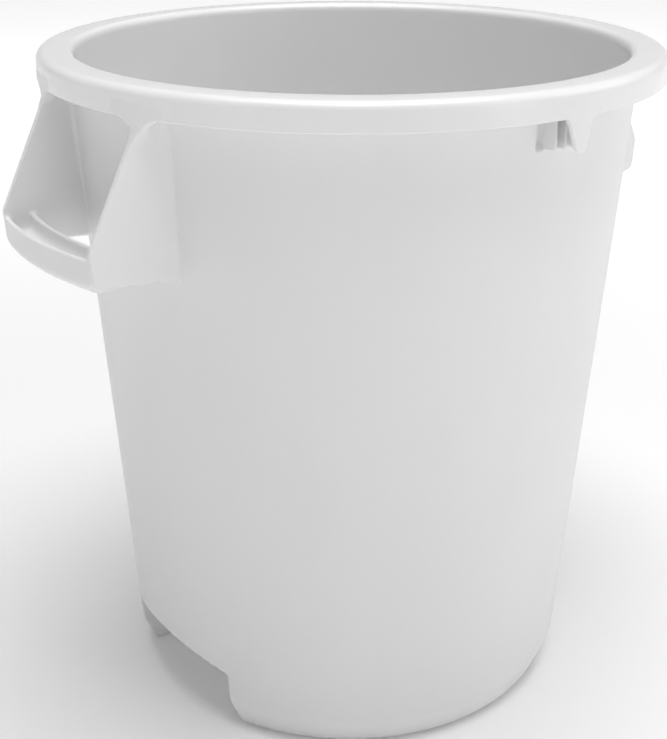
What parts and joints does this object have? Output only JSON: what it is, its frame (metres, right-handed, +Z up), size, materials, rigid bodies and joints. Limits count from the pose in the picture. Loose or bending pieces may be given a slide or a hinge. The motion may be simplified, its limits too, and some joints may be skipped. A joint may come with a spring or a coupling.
{
  "type": "wastebasket",
  "caption": "Round tapered white polyethylene wastebasket with a channel rim, two open handles, finger notches in the base and liner cinch tabs.",
  "frame": {"origin": "on the ground at the centre of the base", "axes": "+Z up, +X towards the right handle, -Y towards the front cinch tab"},
  "size_m": [0.456, 0.3948, 0.4346],
  "materials": {
    "body": "satin moulded polyethylene",
    "rim": "semi-gloss moulded polyethylene"
  },
  "bodies": {
    "root": {"bucket_wall": "body", "base_corner_front": "body", "base_corner_rear": "body", "floor_panel": "body", "hand_hold_left": "body", "hand_hold_right": "body", "skid_ring_inner": "body", "skid_ring_outer": "body", "rim_band": "rim", "rim_gussets": "body", "left_front_cheek": "body", "left_rear_cheek": "body", "left_grip": "body", "right_front_cheek": "body", "right_rear_cheek": "body", "right_grip": "body", "cinch_tab_front": "rim", "cinch_tab_rear": "rim", "cinch_ribs_front": "body", "cinch_ribs_rear": "body"}
  },
  "joints": []
}
